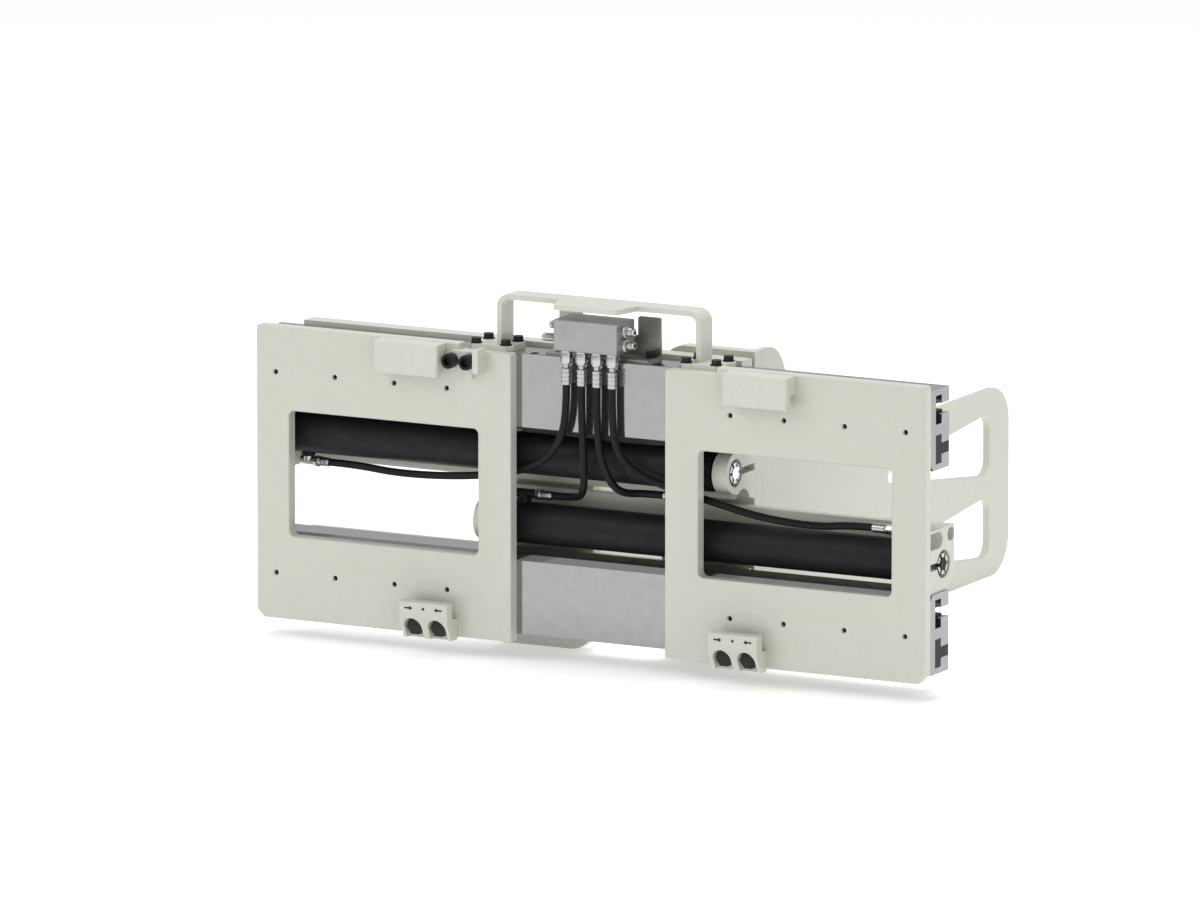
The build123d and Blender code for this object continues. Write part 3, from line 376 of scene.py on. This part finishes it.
# %% Give each node its finish
slots = {row["node"]: row["material_slot"] for row in frame["record"]["subparts"]}
for name, node in frame["nodes"].items():
    node.data.materials.clear()
    node.data.materials.append(finishes[slots[name]])
for hose in hoses:
    hose.data.materials.append(finishes["hose_rubber"])
print(len(slots), "nodes have a finish")

# %% [markdown]
# ## Turned pieces
# Ferrules, adapter noses and collars are made on a lathe, so they are modelled the same way: one
# circle, extruded upwards ring by ring and scaled to each new radius, then capped. A Spin of an
# outline would give the same shape, but ring by ring shows the radius at each height, as on a
# turner's drawing. Each shape is made once, standing at the origin, and copies are then placed.

# %% Turn a shape from rings of (height, radius)
ring_sides = 40


def clear_selection():
    """Deselect everything, because an operator acts on all that is selected."""
    bpy.ops.object.select_all(action="DESELECT")


def turned(name, rings):
    """A closed turned shape along +Z."""
    clear_selection()
    height, radius = rings[0]
    bpy.ops.mesh.primitive_circle_add(
        vertices=ring_sides, radius=radius, fill_type="NGON", location=(0, 0, height))
    piece = bpy.context.active_object
    piece.name = name
    bpy.ops.object.transform_apply(location=True, rotation=True, scale=True)
    bpy.ops.object.mode_set(mode="EDIT")
    bpy.ops.mesh.select_all(action="SELECT")
    for new_height, new_radius in rings[1:]:
        bpy.ops.mesh.extrude_region_move(
            TRANSFORM_OT_translate={"value": (0, 0, new_height - height)})
        ratio = new_radius / radius
        bpy.ops.transform.resize(value=(ratio, ratio, 1), center_override=(0, 0, new_height))
        height, radius = new_height, new_radius
    bpy.ops.mesh.select_all(action="SELECT")
    bpy.ops.mesh.normals_make_consistent(inside=False)
    bpy.ops.object.mode_set(mode="OBJECT")
    return piece


def hex_prism(name, across, low, high, edge=0.0006):
    """A hexagon nut or head along +Z, with its edges broken by a small bevel."""
    clear_selection()
    corner_radius = across / math.sqrt(3)
    bpy.ops.mesh.primitive_cylinder_add(
        vertices=6, radius=corner_radius, depth=high - low, location=(0, 0, (low + high) / 2))
    piece = bpy.context.active_object
    piece.name = name
    bpy.ops.object.transform_apply(location=True, rotation=True, scale=True)
    bevel = piece.modifiers.new("broken_edges", "BEVEL")
    bevel.width = edge
    bevel.segments = 2
    bpy.ops.object.modifier_apply(modifier=bevel.name)
    return piece


def placed_copies(shape, matrices):
    """Copies of a shape, each with its own mesh, its place in its vertices."""
    copies = []
    for matrix in matrices:
        copy = shape.copy()
        copy.data = shape.data.copy()
        copy.data.transform(matrix)
        bpy.context.scene.collection.objects.link(copy)
        copies.append(copy)
    return copies


def join_pieces(name, parts):
    """Join separate parts into one piece, shaded smooth except at its sharp edges."""
    clear_selection()
    for part in parts:
        part.select_set(True)
    bpy.context.view_layer.objects.active = parts[0]
    bpy.ops.object.join()
    piece = bpy.context.active_object
    piece.name = name
    bpy.ops.object.shade_smooth_by_angle(angle=math.radians(35))
    return piece


def finish_piece(piece, slot, body="frame"):
    """Give a piece the finish of one of the record's slots and the body that it rides on."""
    piece.data.materials.clear()
    piece.data.materials.append(finishes[slot])
    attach(piece, body)
    print(piece.name, len(piece.data.polygons), "faces")


# %% [markdown]
# ## Hose ends
# A hose is gripped by a crimped ferrule: a steel sleeve pressed onto the rubber in rings, with a
# collar where it meets the nut. The CAD ferrules are plain rounds of the right length, so these
# turned ones stand in for them, between the same two planes and on the same axes.

# %% Where the hoses end
divider_low, divider_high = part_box("flow_divider_block")
swivel_length = 0.022
swivel_base = divider_low.z - swivel_length
ferrule_neck = 0.006
ferrule_neck_radius = 0.005
ferrule_radius = 0.0075
ferrule_lip = 0.0008
ferrule_collar_rise = 0.0004
press_count = 3
press_depth = 0.0006
route_ends = {node: Vector(route[-1]) for node, route in hose_routes.items()}
route_starts = [Vector(route[0]) for route in hose_routes.values()]
ferrule_lengths = {
    "upper_base_hose": 0.014, "lower_rod_hose": 0.018,
    "upper_rod_hose": 0.018, "lower_base_hose": 0.022,
}
nut_lengths = {
    "upper_base_hose": 0.012, "lower_rod_hose": 0.010,
    "upper_rod_hose": 0.010, "lower_base_hose": 0.022,
}


def upright(point):
    """Stand a turned shape at a point, along +Z."""
    return Matrix.Translation(point)


def sideways(point, sign):
    """Lay a turned shape at a point, along +X or -X."""
    return Matrix.Translation(point) @ Matrix.Rotation(sign * math.pi / 2, 4, "Y")


def ferrule_rings(length):
    """Ring by ring outline of a crimped sleeve: a lip, three pressed grooves and a collar."""
    outer = ferrule_radius
    pressed = ferrule_radius - press_depth
    collar = ferrule_radius + ferrule_collar_rise
    rings = [(0, outer - ferrule_lip), (ferrule_lip, outer)]
    groove_step = (length - 0.007) / press_count
    for groove in range(press_count):
        middle = 0.003 + groove_step * (groove + 0.5)
        rings += [(middle - 0.0009, outer), (middle - 0.0005, pressed),
                  (middle + 0.0005, pressed), (middle + 0.0009, outer)]
    rings += [(length - 0.0034, outer), (length - 0.003, collar),
              (length - 0.0012, collar), (length, outer - 0.0012)]
    return rings


# %% Crimped ferrules
upright_length = swivel_base - ferrule_neck - route_starts[0].z
ferrule_shape = turned("ferrule_shape", ferrule_rings(upright_length) + [
    (upright_length + 0.0001, ferrule_neck_radius),
    (upright_length + ferrule_neck, ferrule_neck_radius)])
ferrules = placed_copies(ferrule_shape, [upright(start) for start in route_starts])
bpy.data.objects.remove(ferrule_shape)
for node, end in route_ends.items():
    shape = turned("ferrule_shape", ferrule_rings(ferrule_lengths[node]))
    ferrules += placed_copies(shape, [sideways(end, math.copysign(1, end.x))])
    bpy.data.objects.remove(shape)
crimped = join_pieces("crimped_ferrules", ferrules)
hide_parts("hose_ferrules")
finish_piece(crimped, "zinc_steel")

# %% [markdown]
# Each hose is screwed on with a swivel nut: six flats for the spanner, a turned skirt where the
# nut holds the nipple, and a face ring that seats on the port. The flats are a six-sided cylinder
# with bevelled edges, and the round parts are turned.

# %% Swivel nuts
upright_flats = 0.017
upright_skirt = 0.0035
face_ring_radius = 0.0090
port_flats = 0.016
port_skirt = 0.002
upright_nuts = [
    hex_prism("nut_flats", upright_flats, upright_skirt, swivel_length - upright_skirt),
    turned("nut_skirt", [(0, 0.0068), (0.0008, 0.0078), (upright_skirt, 0.0082)]),
    turned("nut_face", [(swivel_length - upright_skirt, face_ring_radius),
                        (swivel_length - 0.0005, face_ring_radius), (swivel_length, 0.0084)]),
]
nuts = []
for shape in upright_nuts:
    spots = [Vector((start.x, start.y, swivel_base)) for start in route_starts]
    nuts += placed_copies(shape, [upright(spot) for spot in spots])
    bpy.data.objects.remove(shape)
for node, end in route_ends.items():
    sign = math.copysign(1, end.x)
    seat = end + Vector((sign * ferrule_lengths[node], 0, 0))
    length = nut_lengths[node]
    for shape in (hex_prism("nut_flats", port_flats, port_skirt, length),
                  turned("nut_skirt", [(0, 0.0060), (0.0006, 0.0074), (port_skirt, 0.0078)])):
        nuts += placed_copies(shape, [sideways(seat, sign)])
        bpy.data.objects.remove(shape)
swivels = join_pieces("swivel_nuts", nuts)
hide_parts("hose_swivel_nuts")
finish_piece(swivels, "zinc_steel")

# %% [markdown]
# ## Supply adapters
# The truck's own hoses screw onto four adapters on the divider's ends. Each has six flats, a
# relief groove, a threaded nose and an open bore. The bore is part of the same turned outline,
# which goes out along the nose, in over its end and back down inside.

# %% Adapters
hex_length = 0.008
hex_flats = 0.019
hex_edge = 0.0008
nose_radius = 0.0065
relief_radius = nose_radius - 0.0008
bore_radius = 0.0035
bore_depth = 0.010
thread_pitch = 0.0015
thread_depth = 0.0005


def nose_rings(length):
    """The outline of a threaded nose with its bore."""
    rings = [(hex_length, relief_radius), (hex_length + 0.0015, relief_radius)]
    start = hex_length + 0.002
    turns = int((length - 0.004) / thread_pitch)
    for turn in range(turns):
        rings += [(start + turn * thread_pitch, nose_radius - thread_depth),
                  (start + (turn + 0.5) * thread_pitch, nose_radius)]
    tip = hex_length + length
    rings += [(tip - 0.0008, nose_radius), (tip, nose_radius - 0.0010),
              (tip - 0.0001, bore_radius), (tip - bore_depth, bore_radius - 0.0002)]
    return rings


adapter_parts = []
adapter_record = [m for m in frame["record"]["mounts"] if m["name"].endswith("_supply")]
for mount in adapter_record:
    sign = mount["axis"][0]
    length = mount["dims"]["length_mm"] / 1000
    seat = Vector((sign * divider_high.x, mount["pos_m"][1], mount["pos_m"][2]))
    for shape in (hex_prism("adapter_flats", hex_flats, 0.0, hex_length, hex_edge),
                  turned("adapter_nose", nose_rings(length))):
        adapter_parts += placed_copies(shape, [sideways(seat, sign)])
        bpy.data.objects.remove(shape)
adapters = join_pieces("threaded_adapters", adapter_parts)
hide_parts("supply_adapters")
finish_piece(adapters, "zinc_steel")

# %% [markdown]
# ## Marks on the clamp hooks
# The lower hooks are bolted on, and the real ones carry small printed hints. Here each hook has
# two plain arrows and a dot between them, 0.3 mm proud, with no lettering. An arrow is a flat
# outline drawn as one n-gon, which a Solidify modifier makes into a thin sheet.

# %% Arrow and dot marks
mark_proud = 0.0003
mark_level = -0.187
hooks_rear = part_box("lower_hooks")[0].y
clamp_record = [m for m in frame["record"]["mounts"] if m["name"].endswith("_clamp_seat")]
arrow_reach = 0.026
arrow_length = 0.014
dot_radius = 0.0022
arrow_outline = [(-0.5, -0.09), (0.12, -0.09), (0.12, -0.26), (0.5, 0.0), (0.12, 0.26),
                 (0.12, 0.09), (-0.5, 0.09)]


def arrow(centre_x, level, direction):
    """One thin arrow on the hooks' rear face, pointing along +X or -X."""
    clear_selection()
    mesh = bpy.data.meshes.new("arrow")
    points = [(centre_x + direction * arrow_length * x, hooks_rear, level + arrow_length * z)
              for x, z in arrow_outline]
    order = range(len(points)) if direction > 0 else reversed(range(len(points)))
    mesh.from_pydata(points, [], [tuple(order)])
    piece = bpy.data.objects.new("arrow", mesh)
    bpy.context.scene.collection.objects.link(piece)
    bpy.context.view_layer.objects.active = piece
    piece.select_set(True)
    sheet = piece.modifiers.new("sheet", "SOLIDIFY")
    sheet.thickness = mark_proud
    sheet.offset = 1
    bpy.ops.object.modifier_apply(modifier=sheet.name)
    return piece


marks = []
for mount in clamp_record:
    centre = mount["pos_m"][0]
    marks.append(arrow(centre - arrow_reach, mark_level, 1))
    marks.append(arrow(centre + arrow_reach, mark_level, -1))
    dot = turned("dot", [(0, dot_radius), (mark_proud, dot_radius)])
    spot = Matrix.Translation((centre, hooks_rear, mark_level))
    marks += placed_copies(dot, [spot @ Matrix.Rotation(math.pi / 2, 4, "X")])
    bpy.data.objects.remove(dot)
hook_marks = join_pieces("clamp_hook_marks", marks)
finish_piece(hook_marks, "black_fasteners")

# %% [markdown]
# ## Light and floor
# A plain pale floor, one broad soft key from the upper left, a weak fill from the right, and a
# bright even surround. The rails are nearly mirrors, so what they reflect is the surround itself.

# %% Floor
floor_gap = 0.0005
floor_side = 60
clear_selection()
bpy.ops.mesh.primitive_plane_add(size=floor_side, location=(0, 0, cad_low.z - floor_gap))
floor = bpy.context.active_object
floor.name = "studio_floor"
floor_material = bpy.data.materials.new("pale_floor")
floor_material.use_nodes = True
floor_shader = floor_material.node_tree.nodes["Principled BSDF"]
floor_shader.inputs["Base Color"].default_value = (0.93, 0.93, 0.93, 1)
floor_shader.inputs["Roughness"].default_value = 0.9
floor_shader.inputs["Emission Color"].default_value = (1, 1, 1, 1)
floor_shader.inputs["Emission Strength"].default_value = 0.35
floor.data.materials.append(floor_material)


# %% Lights
def area_light(name, place, size, power, target=Vector((0, 0.2, 0))):
    """A square soft light at a place, turned towards the object."""
    data = bpy.data.lights.new(name, "AREA")
    data.size = size
    data.energy = power
    lamp = bpy.data.objects.new(name, data)
    lamp.location = place
    lamp.rotation_mode = "QUATERNION"
    lamp.rotation_quaternion = (target - Vector(place)).to_track_quat("-Z", "Y")
    bpy.context.scene.collection.objects.link(lamp)


area_light("key", (-2.6, -3.2, 3.2), 2.6, 48)
area_light("fill", (3.6, -2.4, 1.6), 2.4, 16)
area_light("top", (0.2, 1.2, 4.0), 3.0, 110)
world = bpy.data.worlds.new("surround")
world.use_nodes = True
world.node_tree.nodes["Background"].inputs["Color"].default_value = (1, 1, 1, 1)
world.node_tree.nodes["Background"].inputs["Strength"].default_value = 0.60
bpy.context.scene.world = world
bpy.context.scene.view_settings.view_transform = "Standard"
print("three lights and the surround")
